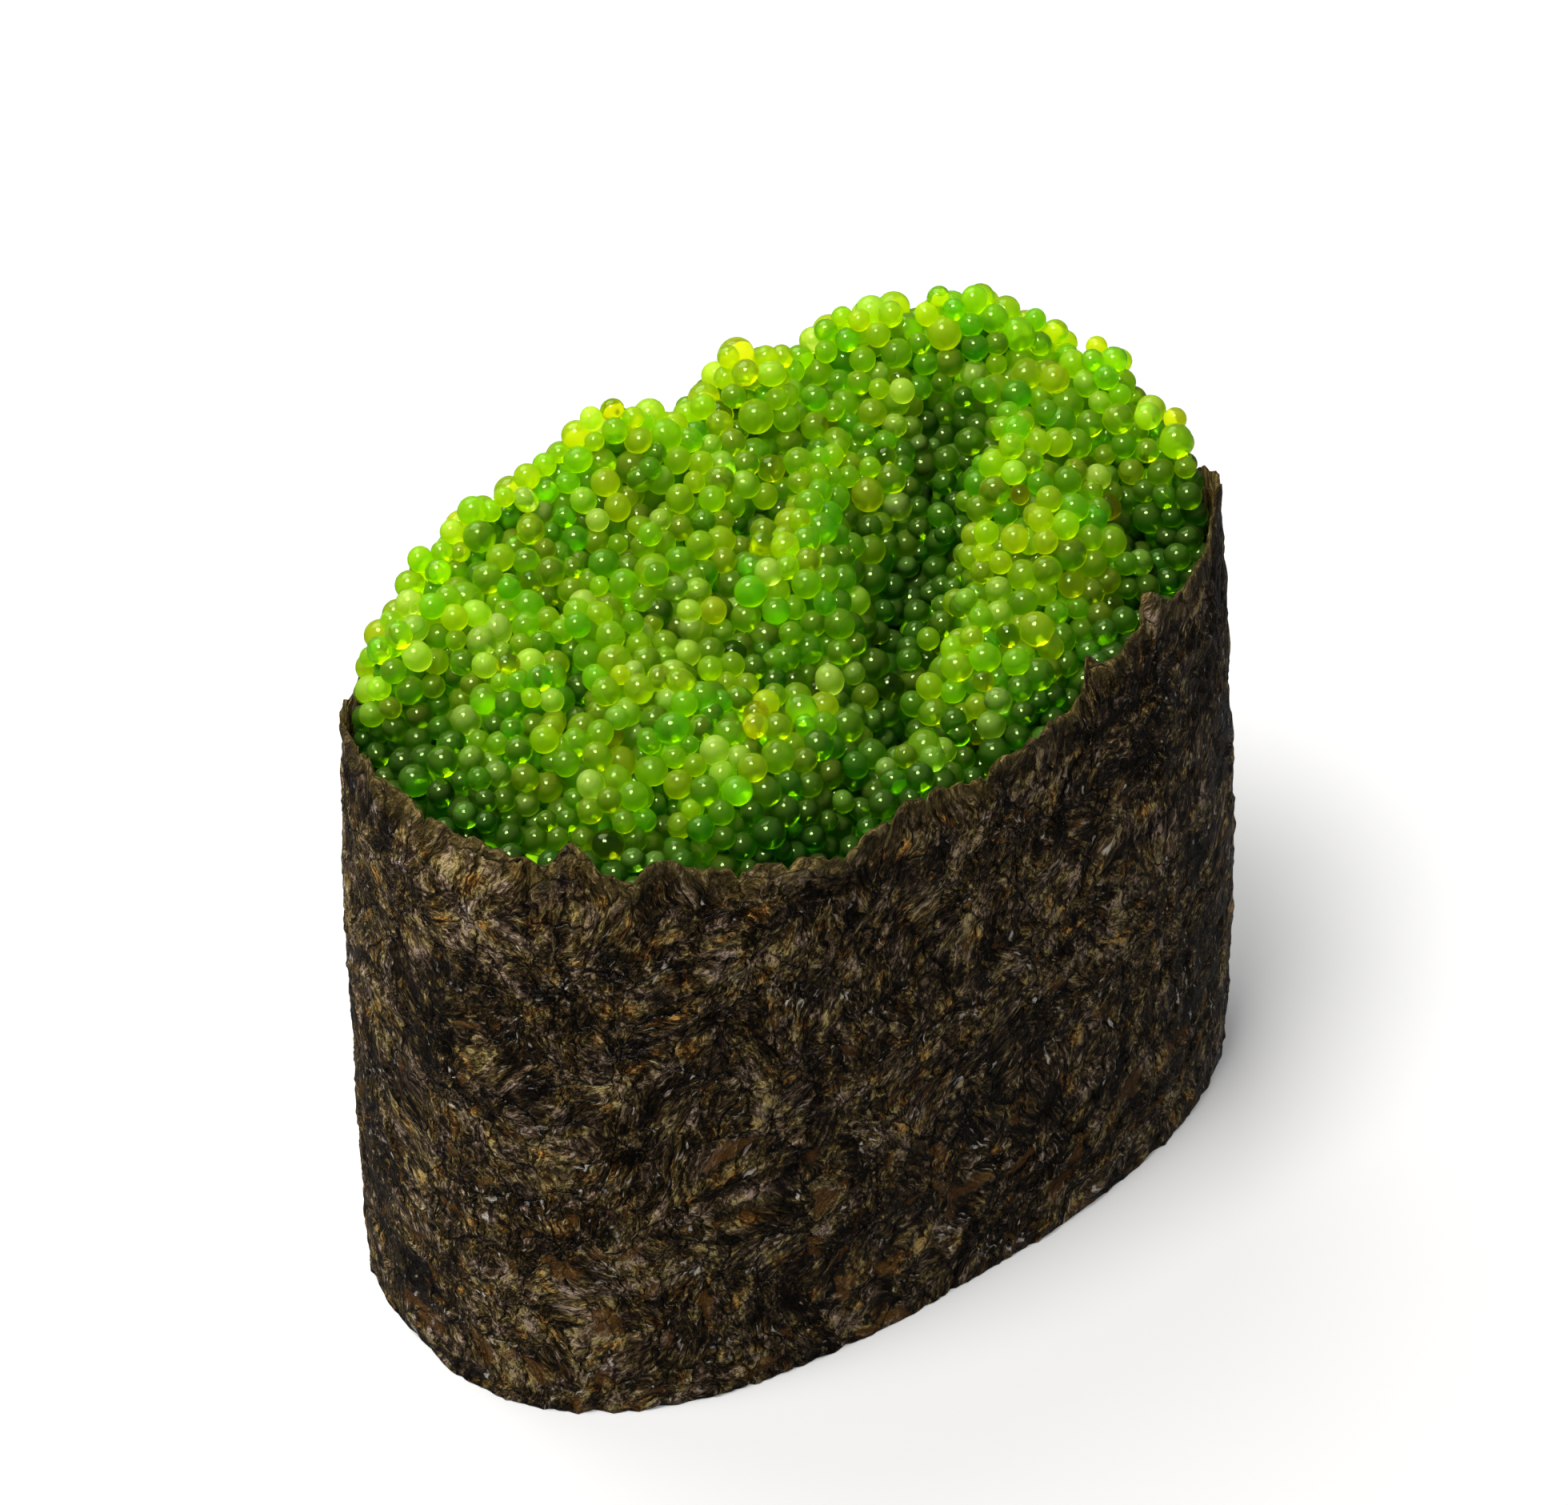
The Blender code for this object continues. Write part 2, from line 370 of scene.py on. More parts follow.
def nearness_to_gap(x, y):
    """1 along the heap's gap, which is sunk and given painted shade, falling to 0 beside it."""
    nearest = np.full(np.shape(x), np.inf)
    for (start_x, start_y), (end_x, end_y) in zip(GAP_LINE[:-1], GAP_LINE[1:]):
        step_x = end_x - start_x
        step_y = end_y - start_y
        along = ((x - start_x) * step_x + (y - start_y) * step_y) / (step_x ** 2 + step_y ** 2)
        along = np.clip(along, 0.0, 1.0)
        distance = np.hypot(x - start_x - along * step_x, y - start_y - along * step_y)
        nearest = np.minimum(nearest, distance)
    return bell(nearest + 0.9 * smooth_noise(x / 2.0, y / 2.0, 84), GAP_REACH)


class Heap:
    """The CAD heap's top as a height map in millimetres, with its slopes."""

    def __init__(self):
        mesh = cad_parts["roe"].data
        points = [vertex.co / MM for vertex in mesh.vertices]
        tree = BVHTree.FromPolygons(points, [list(face.vertices) for face in mesh.polygons])
        self.x = np.arange(-HALF_LENGTH, HALF_LENGTH + HEAP_STEP, HEAP_STEP)
        self.y = np.arange(-HALF_WIDTH, HALF_WIDTH + HEAP_STEP, HEAP_STEP)
        heights = np.full((len(self.y), len(self.x)), np.nan)
        for row, y in enumerate(self.y):
            for column, x in enumerate(self.x):
                place, _, _, _ = tree.ray_cast(Vector((x, y, 60.0)), Vector((0.0, 0.0, -1.0)))
                if place is not None:
                    heights[row, column] = place.z
        grid_x, grid_y = np.meshgrid(self.x, self.y)
        self.heights = spread_outwards(heights) - self.pits(grid_x, grid_y)
        self.means = self.heights
        for _ in range(24):
            padded = np.pad(self.means, 2, mode="edge")
            self.means = 0.25 * (padded[4:, 2:-2] + padded[:-4, 2:-2] + padded[2:-2, 4:] + padded[2:-2, :-4])

    @staticmethod
    def pits(x, y):
        """How far the loose clumps' gaps go down under the outline."""
        small = smooth_step((smooth_noise(x / 2.3, y / 2.3, 80) - 0.02) / 0.40)
        large = smooth_step((smooth_noise(x / 5.0, y / 5.0, 83) - 0.05) / 0.45)
        return 1.7 * small + 1.1 * large + 0.9 * nearness_to_gap(x, y)

    def height(self, x, y):
        return self.sample(self.heights, x, y)

    def smoothed(self, x, y):
        return self.sample(self.means, x, y)

    def sample(self, grid, x, y):
        column = np.clip((x - self.x[0]) / HEAP_STEP, 0.0, len(self.x) - 1.001)
        row = np.clip((y - self.y[0]) / HEAP_STEP, 0.0, len(self.y) - 1.001)
        left = column.astype(int)
        low = row.astype(int)
        across = column - left
        up = row - low
        bottom = grid[low, left] * (1 - across) + grid[low, left + 1] * across
        top = grid[low + 1, left] * (1 - across) + grid[low + 1, left + 1] * across
        return bottom * (1 - up) + top * up

    def normal(self, x, y):
        reach = 0.8
        slope_x = (self.height(x + reach, y) - self.height(x - reach, y)) / (2 * reach)
        slope_y = (self.height(x, y + reach) - self.height(x, y - reach)) / (2 * reach)
        length = np.sqrt(1.0 + slope_x ** 2 + slope_y ** 2)
        return np.stack([-slope_x / length, -slope_y / length, 1.0 / length], -1)


def spread_outwards(heights):
    """Fills the cells outside the heap with the mean of their known neighbours."""
    while np.isnan(heights).any():
        padded = np.pad(heights, 1, constant_values=np.nan)
        rows, columns = heights.shape
        near = [padded[1 + dy:1 + dy + rows, 1 + dx:1 + dx + columns]
                for dy in (-1, 0, 1) for dx in (-1, 0, 1)]
        known = ~np.isnan(near)
        count = known.sum(0)
        mean = np.where(known, near, 0.0).sum(0) / np.maximum(count, 1)
        empty = np.isnan(heights) & (count > 0)
        heights[empty] = mean[empty]
    return heights


def wall_share(x, y, z):
    """1 on the wall's inner face, less inside it."""
    scale = wall_scale(z)
    length = (HALF_LENGTH - BAND_THICKNESS) * scale
    width = (HALF_WIDTH - BAND_THICKNESS) * scale
    return (np.abs(x / length) ** OVAL_POWER + np.abs(y / width) ** OVAL_POWER) ** (1 / OVAL_POWER)


def confine_eggs(centres, radii, heap, sink):
    """Moves each egg under the heap's surface, no deeper than the shell, and off the band."""
    x, y, z = centres.T
    normals = heap.normal(x, y)
    depth = (heap.height(x, y) - z) * normals[:, 2]
    held = np.clip(depth, radii * sink, SHELL_DEPTH - radii)
    centres = centres + normals * (depth - held)[:, None]
    x, y, z = centres.T
    share = wall_share(x, y, z)
    step = 0.05
    slope_x = (wall_share(x + step, y, z) - share) / step
    slope_y = (wall_share(x, y + step, z) - share) / step
    slope = np.maximum(np.hypot(slope_x, slope_y), 1e-6)
    room = (1.0 - share) / slope
    above_rim = np.clip((z - RIM_HEIGHT) / 1.5, 0.0, 1.0)
    short = np.clip(radii * (1.0 - 1.3 * above_rim) - 0.1 - room, 0.0, None)
    centres[:, 0] -= slope_x / slope * short
    centres[:, 1] -= slope_y / slope * short
    return centres


def close_pairs(centres, reach):
    tree = KDTree(len(centres))
    for index, point in enumerate(centres):
        tree.insert(point, index)
    tree.balance()
    pairs = [(index, other) for index, point in enumerate(centres)
             for _, other, _ in tree.find_range(point, reach) if other > index]
    return np.array(pairs).T


def push_eggs_apart(centres, radii, pairs, give):
    first, second = pairs
    gaps = centres[first] - centres[second]
    distances = np.maximum(np.sqrt((gaps ** 2).sum(-1)), 1e-6)
    overlap = np.clip((radii[first] + radii[second]) * give - distances, 0.0, 0.3)
    pushes = gaps / distances[:, None] * (overlap * 0.5)[:, None]
    moves = np.zeros_like(centres)
    np.add.at(moves, first, pushes)
    np.add.at(moves, second, -pushes)
    return centres + moves


def scatter_eggs(heap):
    """Egg centres at random through the shell, as many as fill it to the density."""
    area = 4.0 * HALF_LENGTH * HALF_WIDTH
    tries = 60000
    x = RNG.uniform(-HALF_LENGTH, HALF_LENGTH, tries)
    y = RNG.uniform(-HALF_WIDTH, HALF_WIDTH, tries)
    top = heap.height(x, y)
    steepness = 1.0 / heap.normal(x, y)[:, 2]
    depth = RNG.uniform(0.0, SHELL_DEPTH, tries)
    z = top - depth * steepness
    share = wall_share(x, y, z)
    keep = (share < 0.98) & (z > LOWEST_EGG) & (RNG.random(tries) < steepness / 2.5)
    volume = area * SHELL_DEPTH * (steepness * (share < 0.98)).mean()
    count = int(volume * EGG_DENSITY / (4.0 / 3.0 * math.pi * EGG_RADIUS ** 3))
    return np.stack([x, y, z], -1)[keep][:count]


def egg_radii(count):
    radii = RNG.normal(EGG_RADIUS, EGG_SPREAD, count)
    large = RNG.random(count) < 0.06
    radii[large] += 0.15
    return np.clip(radii, 0.42, 0.85)


def pack_eggs(heap):
    centres = scatter_eggs(heap)
    radii = egg_radii(len(centres))
    for step in range(72):
        if step % 6 == 0:
            pairs = close_pairs(centres, 2.2 * EGG_RADIUS + 0.5)
        centres = push_eggs_apart(centres, radii, pairs, 0.95)
        centres = confine_eggs(centres, radii, heap, 0.30)
    return centres, radii


def perch_eggs(centres, radii, heap):
    """A few more eggs that sit up on the others."""
    depth = heap.height(centres[:, 0], centres[:, 1]) - centres[:, 2]
    high = np.flatnonzero(depth < 0.8)
    chosen = RNG.choice(high, 80, replace=False)
    extra = egg_radii(len(chosen)) * 0.95
    lean = heap.normal(centres[chosen, 0], centres[chosen, 1]) + RNG.normal(0.0, 0.5, (len(chosen), 3))
    lean /= np.sqrt((lean ** 2).sum(-1))[:, None]
    perched = centres[chosen] + lean * (radii[chosen] + extra)[:, None] * 0.93
    share = wall_share(*perched.T)
    in_hollow = heap.height(perched[:, 0], perched[:, 1]) < heap.smoothed(perched[:, 0], perched[:, 1])
    keep = (share < 0.93) & in_hollow
    return np.concatenate([centres, perched[keep]]), np.concatenate([radii, extra[keep]])


def unit_ball(subdivisions):
    shape = bmesh.new()
    bmesh.ops.create_icosphere(shape, subdivisions=subdivisions, radius=1.0)
    shape.verts.ensure_lookup_table()
    points = np.array([vertex.co for vertex in shape.verts])
    faces = np.array([[vertex.index for vertex in face.verts] for face in shape.faces])
    shape.free()
    return points, faces


def random_turns(count):
    """Random rotation matrices, from random unit quaternions."""
    w, x, y, z = RNG.normal(size=(4, count))
    length = np.sqrt(w * w + x * x + y * y + z * z)
    w, x, y, z = w / length, x / length, y / length, z / length
    rows = [
        [1 - 2 * (y * y + z * z), 2 * (x * y - w * z), 2 * (x * z + w * y)],
        [2 * (x * y + w * z), 1 - 2 * (x * x + z * z), 2 * (y * z - w * x)],
        [2 * (x * z - w * y), 2 * (y * z + w * x), 1 - 2 * (x * x + y * y)],
    ]
    return np.array(rows).transpose(2, 0, 1)


MOTTLE_SIZE = 0.55
MOTTLE_SHARE = 0.22

# Which way the light falls from, for the painted pale sheen on the eggs' upper sides and the painted yellow
# glow on their lower sides.
LIGHT_DIRECTION = (-0.284, -0.027, 0.958)


def ball_mesh(name, centres, sizes, turns, subdivisions, unevenness):
    """Uneven balls joined in one mesh, each with its own tone as an attribute."""
    ball, ball_faces = unit_ball(subdivisions)
    count = len(centres)
    stretch = sizes[:, None, :] * (1.0 + RNG.normal(0.0, unevenness, (count, 1, 3)))
    spokes = np.einsum("nij,nvj->nvi", turns, ball[None] * stretch)
    points = centres[:, None, :] + spokes
    steps = np.arange(count)[:, None, None] * len(ball)
    faces = (ball_faces[None] + steps).reshape(-1, 3)
    mesh = mesh_from_arrays(name, points.reshape(-1, 3), faces)
    x, y, z = points.reshape(-1, 3).T
    mottle = smooth_noise((x + 0.6 * z) / MOTTLE_SIZE, (y - 0.8 * z) / MOTTLE_SIZE, 97)
    add_values(mesh, "tone", np.repeat(RNG.random(count), len(ball)) + MOTTLE_SHARE * mottle)
    add_values(mesh, "cloud", np.repeat(RNG.random(count) ** 1.2, len(ball)))
    spokes /= np.sqrt((spokes ** 2).sum(-1))[..., None]
    # How far each point faces the light, for painting the eggs' lit and unlit sides.
    add_values(mesh, "towards_light", spokes @ np.array(LIGHT_DIRECTION))
    return mesh


def roe_material(name, colours, clearest, cloudiest, lit_sheen):
    """Tinted jelly in a skin that lets light through, clearer in some eggs than in others, with painted
    shade, a painted pale sheen on the upper side and a painted yellow glow on the lower side.
    """
    tree = Nodes(name)
    colour = tree.ramp(tree.attribute("tone"), colours)
    # Painted shade: the shade attribute darkens each egg's colour toward the dark tint where it lies deep,
    # in a hollow, along the gap or beside the band.
    shade = tree.attribute("shade")
    dark = tree.blend(1.0, colour, (0.12, 0.34, 0.10), "MULTIPLY")
    colour = tree.blend(shade, colour, dark)
    jelly = tree.shader
    tree.put(colour, jelly.inputs["Base Color"])
    jelly.inputs["Roughness"].default_value = 0.10
    jelly.inputs["Specular Tint"].default_value = (0.70, 1.0, 0.38, 1.0)
    jelly.inputs["IOR"].default_value = 1.36
    jelly.inputs["Transmission Weight"].default_value = 1.0
    side = tree.attribute("towards_light")
    upper = tree.steps(side, 0.30, 0.95)
    # Painted light: on each egg's side away from the light the translucent glow turns yellow and takes a
    # larger share, as if light were focused through the egg; the yellow is weaker in painted shade.
    lower = tree.maths("SUBTRACT", 1.0, tree.steps(side, -0.80, 0.10))
    glow = tree.add("BsdfTranslucent")
    painted_glow_share = tree.maths("MULTIPLY", lower, tree.maths("SUBTRACT", 0.75, tree.maths("MULTIPLY", shade, 0.6)))
    tree.put(tree.blend(painted_glow_share, colour, (0.93, 0.99, 0.01)), glow.inputs["Color"])
    share = tree.add("MapRange")
    tree.put(tree.attribute("cloud"), share.inputs["Value"])
    share.inputs["To Min"].default_value = clearest
    share.inputs["To Max"].default_value = cloudiest
    share = tree.maths("MULTIPLY", share.outputs["Result"], tree.maths("ADD", 0.80, lower))
    lit = tree.mixed(share, jelly.outputs["BSDF"], glow.outputs["BSDF"])
    # Painted sheen: a pale diffuse layer, mixed in only on each egg's upper side facing the light, by an
    # amount set for each kind.
    skin = tree.add("BsdfDiffuse")
    tree.put(tree.blend(0.20, colour, (0.62, 1.0, 0.30)), skin.inputs["Color"])
    lit = tree.mixed(tree.maths("MULTIPLY", upper, lit_sheen), lit, skin.outputs["BSDF"])
    tree.put(lit, tree.nodes["Material Output"].inputs["Surface"])
    return tree.material


def deep_roe_material():
    """The eggs under the others: dark green as painted shade, mottled, wet."""
    tree = Nodes("roe_inner")
    place = tree.add("TexCoord").outputs["Object"]
    mottle = tree.noise(tree.scaled(place, (900.0, 900.0, 900.0)), 3.0, 0.6)
    tone = tree.maths("ADD", tree.attribute("tone"), mottle)
    # Painted shade: darker greens than the outer eggs, for lying deep in the heap.
    colour = tree.ramp(tree.maths("MULTIPLY", tone, 0.5), (
        (0.2, (0.02, 0.10, 0.0005)), (0.5, (0.06, 0.20, 0.001)), (0.8, (0.14, 0.32, 0.002))))
    tree.put(colour, tree.shader.inputs["Base Color"])
    tree.shader.inputs["Roughness"].default_value = 0.15
    tree.shader.inputs["Specular IOR Level"].default_value = 0.35
    tree.shader.inputs["Specular Tint"].default_value = (0.70, 1.0, 0.38, 1.0)
    return tree.material


# Each kind's share of the eggs, its clearest and cloudiest skin, the strength of its painted pale sheen on
# the upper side and its colours.
KINDS = {
    "roe_green": (0.22, 0.06, 0.43, 0.04, (
        (0.0, (0.40, 0.90, 0.001)), (0.5, (0.52, 0.93, 0.001)), (1.0, (0.60, 0.95, 0.002)))),
    "roe_leaf": (0.30, 0.07, 0.48, 0.04, (
        (0.0, (0.58, 0.93, 0.001)), (0.5, (0.67, 0.95, 0.002)), (1.0, (0.76, 0.97, 0.003)))),
    "roe_lime": (0.32, 0.09, 0.52, 0.045, (
        (0.0, (0.72, 0.95, 0.001)), (0.5, (0.82, 0.97, 0.003)), (1.0, (0.93, 0.98, 0.01)))),
    "roe_pale": (0.13, 0.16, 0.54, 0.09, (
        (0.0, (0.66, 0.98, 0.02)), (0.5, (0.76, 0.99, 0.08)), (1.0, (0.86, 1.00, 0.20)))),
    "roe_olive": (0.03, 0.02, 0.25, 0.0, (
        (0.0, (0.80, 0.90, 0.002)), (0.5, (0.90, 0.88, 0.005)), (1.0, (0.98, 0.76, 0.01)))),
}


def clustered_shares(centres):
    """Random numbers from 0 to 1 that are alike for some neighbours, so kinds lie in clusters."""
    x, y, z = centres.T
    cloud = smooth_noise((x + 0.4 * z) / 2.3, (y - 0.4 * z) / 2.3, 90)
    mixed = cloud + RNG.normal(0.0, 0.32, len(centres))
    order = np.argsort(np.argsort(mixed))
    return order / len(centres)


def egg_shade(heap, centres, depth):
    """How much darker each egg is for lying deep, in a valley or down beside the band."""
    x, y, z = centres.T
    deep = smooth_step((depth - 0.75) / 1.2)
    valley = smooth_step((heap.smoothed(x, y) - heap.height(x, y) + 0.1) / 1.5)
    angle = np.arctan2(y / HALF_WIDTH, x / HALF_LENGTH)
    below_rim = smooth_step((rim_height(angle) + 2.0 - z) / 3.0)
    beside = smooth_step((wall_share(x, y, z) - 0.70) / 0.20) * below_rim
    gap = nearness_to_gap(x, y)
    return 1.0 - (1.0 - 0.9 * deep) * (1.0 - 0.75 * valley) * (1.0 - 0.9 * beside) * (1.0 - 0.65 * gap)


def make_roe():
    heap = Heap()
    centres, radii = perch_eggs(*pack_eggs(heap), heap)
    x, y, z = centres.T
    depth = (heap.height(x, y) - z) * heap.normal(x, y)[:, 2]
    shade = egg_shade(heap, centres, depth)
    outer = depth < VISIBLE_DEPTH
    share = clustered_shares(centres)
    start = 0.0
    for name in KIND_ORDER:
        part, clearest, cloudiest, lit_sheen, colours = KINDS[name]
        chosen = outer & (share >= start) & (share < start + part)
        start += part
        material = roe_material(name, colours, clearest, cloudiest, lit_sheen)
        add_eggs(name, centres[chosen], radii[chosen], shade[chosen], 3, material)
    material = deep_roe_material()
    add_eggs("roe_inner", centres[~outer], radii[~outer], shade[~outer], 2, material)
    make_roe_core(heap)


KIND_ORDER = ("roe_green", "roe_leaf", "roe_olive", "roe_lime", "roe_pale")


def add_eggs(name, centres, radii, shade, subdivisions, material):
    sizes = np.repeat(radii[:, None], 3, 1)
    mesh = ball_mesh(name, centres, sizes, random_turns(len(centres)), subdivisions, 0.05)
    add_values(mesh, "shade", np.repeat(shade, len(mesh.vertices) // len(centres)))
    new_piece(name, mesh, material, "roe")


CORE_RINGS = 60
CORE_COLUMNS = 230
CORE_DEPTH = 2.0


def make_roe_core(heap):
    """The smaller heap under the eggs, dimpled like packed eggs, down to the rice."""
    angles = np.linspace(0.0, 2.0 * math.pi, CORE_COLUMNS, endpoint=False)[None, :]
    shares = np.linspace(0.0, 1.0, CORE_RINGS + 1)[1:, None]
    rim_x, rim_y = oval_point(angles)
    inset = 0.965
    x = rim_x * shares * inset
    y = rim_y * shares * inset
    bumps = 0.35 * np.abs(smooth_noise(x / 0.7, y / 0.7, 61))
    z = heap.height(x, y) - CORE_DEPTH / heap.normal(x, y)[..., 2] + bumps
    z = np.maximum(z, LOWEST_EGG - 0.5)
    top = np.stack([x, y, z], -1).reshape(-1, 3)
    floor = np.stack([x[-1], y[-1], np.full(CORE_COLUMNS, ROE_LOW[2] / MM)], -1)
    centre = np.array([[0.0, 0.0, float(heap.height(np.zeros(1), np.zeros(1))[0]) - CORE_DEPTH]])
    base = np.array([[0.0, 0.0, ROE_LOW[2] / MM]])
    points = np.concatenate([top, floor, centre, base])
    shape = bmesh.new()
    verts = [shape.verts.new(point * MM) for point in points]
    columns = range(CORE_COLUMNS)
    for row in range(CORE_RINGS):
        for column in columns:
            near = row * CORE_COLUMNS + column
            side = row * CORE_COLUMNS + (column + 1) % CORE_COLUMNS
            shape.faces.new([verts[near], verts[near + CORE_COLUMNS],
                             verts[side + CORE_COLUMNS], verts[side]])
    last = CORE_RINGS * CORE_COLUMNS
    for column in columns:
        after = (column + 1) % CORE_COLUMNS
        shape.faces.new([verts[column], verts[after], verts[-2]])
        shape.faces.new([verts[last + after], verts[last + column], verts[-1]])
    bmesh.ops.recalc_face_normals(shape, faces=shape.faces)
    mesh = bpy.data.meshes.new("roe_core")
    shape.to_mesh(mesh)
    shape.free()
    mesh.shade_smooth()
    material = bpy.data.materials.new("roe_core")
    material.use_nodes = True
    nodes = material.node_tree.nodes
    links = material.node_tree.links
    shader = nodes["Principled BSDF"]
    blotches = nodes.new("ShaderNodeTexNoise")
    blotches.inputs["Scale"].default_value = 900.0
    where = nodes.new("ShaderNodeTexCoord")
    links.new(where.outputs["Object"], blotches.inputs["Vector"])
    # Painted shade: dark greens for the shaded depths of the heap under the eggs.
    ramp = nodes.new("ShaderNodeValToRGB")
    ramp.color_ramp.elements[0].position = 0.35
    ramp.color_ramp.elements[0].color = (0.03, 0.12, 0.0, 1.0)
    ramp.color_ramp.elements[1].position = 0.65
    ramp.color_ramp.elements[1].color = (0.14, 0.30, 0.002, 1.0)
    links.new(blotches.outputs["Fac"], ramp.inputs["Fac"])
    links.new(ramp.outputs["Color"], shader.inputs["Base Color"])
    shader.inputs["Roughness"].default_value = 0.45
    shader.inputs["Specular IOR Level"].default_value = 0.2
    new_piece("roe_core", mesh, material, "roe")


# ---------------------------------------------------------------- nori

NORI_COLUMNS = 590
NORI_ROWS = 132
INNER_ROWS = 14

# Torn points of the rim: the angle, and in millimetres the rise, width and outward lean.
RIM_TUFTS = (
    (math.radians(287.3), 1.3, 0.45, -0.5),
    (math.radians(288.9), 0.6, 0.7, -0.2),
    (math.radians(298.9), 1.5, 0.65, -0.7),
    (math.radians(300.6), 0.9, 0.5, 0.2),
    (math.radians(217.0), 0.8, 0.9, -0.5),
    (math.radians(230.5), 0.9, 0.8, 0.3),
    (math.radians(257.0), 0.7, 1.8, 0.7),
    (math.radians(330.0), 1.0, 0.7, 0.2),
    (math.radians(160.0), 1.1, 0.9, 0.3),
    (math.radians(96.0), 1.4, 0.8, -0.4),
    (math.radians(62.0), 1.2, 0.7, 0.3),
    (math.radians(18.0), 1.1, 0.6, -0.3),
)


def flow(along, up):
    """Places on the sheet, warped so that long marks swirl as pressed seaweed does."""
    across = along + 1.5 * smooth_noise(along / 9.0, up / 9.0, 11)
    across = across + 0.4 * smooth_noise(along / 2.4, up / 3.0, 12)
    height = up + 1.5 * smooth_noise(along / 9.0, up / 9.0, 13)
    height = height + 0.4 * smooth_noise(along / 2.4, up / 3.0, 14)
    return across, height


def turned_share(along, up):
    """Where the sheet's fibres lie across instead of up, from 0 to 1."""
    return smooth_step(0.35 + 1.6 * smooth_noise(along / 9.0, up / 9.0, 15))


def strip_relief(along, up):
    """How far the pressed sheet stands out of its smooth wall, in millimetres."""
    across, height = flow(along, up)
    turned = turned_share(along, up)
    relief = 0.17 * smooth_noise(along / 10.0, up / 12.0, 5)
    for layer in range(4):
        upright = smooth_noise(across / 1.0 + 9.0 * layer, height / 3.4, 20 + layer)
        lying = smooth_noise(across / 2.8 + 9.0 * layer, height / 1.1, 30 + layer)
        scrap = upright * (1.0 - turned) + lying * turned
        relief = relief + 0.042 * smooth_step((scrap + 0.03) / 0.13)
    crease = np.abs(smooth_noise(across / 2.1, height / 5.5, 40))
    other = np.abs(smooth_noise(across / 4.5, height / 2.2, 41))
    relief = relief + 0.19 * np.exp(-crease / 0.12) * (1.0 - turned)
    relief = relief + 0.19 * np.exp(-other / 0.12) * turned
    cracks = np.abs(smooth_noise(across / 1.7 + 3.3, height / 4.0, 42))
    relief = relief - 0.12 * np.exp(-cracks / 0.05)
    return relief + 0.022 * layered_noise(across / 0.55, height / 1.3, 2, 50)


def ragged_rim(angles, along):
    rim = rim_height(angles)
    steps = smooth_noise(along / 3.1, np.full_like(along, 0.5), 60)
    rim = rim + 0.30 * steps + 0.38 * layered_noise(along / 1.1, np.full_like(along, 0.5), 3, 61)
    tears = np.abs(smooth_noise(along / 2.4, np.full_like(along, 4.5), 67))
    rim = rim - 0.7 * np.exp(-tears / 0.07)
    ragged = 0.72 + 0.45 * layered_noise(along / 0.75, np.full_like(along, 7.5), 2, 68)
    lean = 0.35 * smooth_noise(along / 4.0, np.full_like(along, 0.5), 66)
    for angle, rise, width, tilt in RIM_TUFTS:
        place = np.interp(angle + (2.0 * math.pi if angle < START_ANGLE else 0.0), angles, along)
        share = np.exp(-np.abs((along - place) / width) ** 1.6)
        rim = rim + rise * share * ragged
        lean = lean + tilt * share
    return rim, lean


def nori_mesh():
    angles, along = strip_angles(NORI_COLUMNS)
    rim, lean = ragged_rim(angles, along)
    rows_up = np.linspace(0.0, 1.0, NORI_ROWS)[:, None]
    rows_down = np.linspace(1.0, 0.0, INNER_ROWS)[:, None] ** 1.5
    share = np.concatenate([rows_up, rows_down], 0)
    is_inner = np.concatenate([np.zeros(NORI_ROWS), np.ones(INNER_ROWS)])[:, None]
    z = share * rim[None, :]
    spread = np.broadcast_to(along[None, :], z.shape)
    relief = strip_relief(spread, z)
    from_rim = rim[None, :] - z
    curl = smooth_step(1.0 - from_rim / 2.4)
    thickness = BAND_THICKNESS - 0.27 * curl
    middle = strip_offset(angles)[None, :] - 0.5 * BAND_THICKNESS + 0.8 * relief
    offset = middle + lean[None, :] * curl + thickness * (0.5 - is_inner)
    ends = 0.8 * smooth_noise(z / 1.7, np.zeros_like(z), 70) + 0.3 * smooth_noise(z / 0.5, z * 0.0, 71)
    reach = np.clip(1.0 - (along[-1] - along) / 3.0, 0.0, 1.0) + np.clip(1.0 - along / 3.0, 0.0, 1.0)
    ragged = angles[None, :] + ends * reach[None, :] / HALF_LENGTH
    points = wall_point(ragged, z, offset)
    points[..., 2] = np.maximum(points[..., 2], 0.0)
    rows, columns = z.shape
    index = np.arange(rows * columns).reshape(rows, columns)
    after = np.roll(index, -1, axis=0)
    faces = np.stack([index[:, :-1], index[:, 1:], after[:, 1:], after[:, :-1]], -1)
    mesh = mesh_from_arrays("nori_sheet", points.reshape(-1, 3), faces.reshape(-1, 4))
    across, height = flow(spread, z)
    turned = turned_share(spread, z)
    add_vectors(mesh, "flow", np.stack([across, height, is_inner + 0.0 * z], -1))
    add_values(mesh, "turned", turned)
    add_values(mesh, "relief", relief)
    add_values(mesh, "rim", smooth_step(1.0 - from_rim / 2.0))
    add_values(mesh, "height", z / RIM_HEIGHT)
    close_ends(mesh)
    return mesh


def close_ends(mesh):
    shape = bmesh.new()
    shape.from_mesh(mesh)
    edges = [edge for edge in shape.edges if edge.is_boundary]
    bmesh.ops.holes_fill(shape, edges=edges, sides=0)
    bmesh.ops.recalc_face_normals(shape, faces=shape.faces)
    shape.to_mesh(mesh)
    shape.free()
    mesh.shade_smooth()


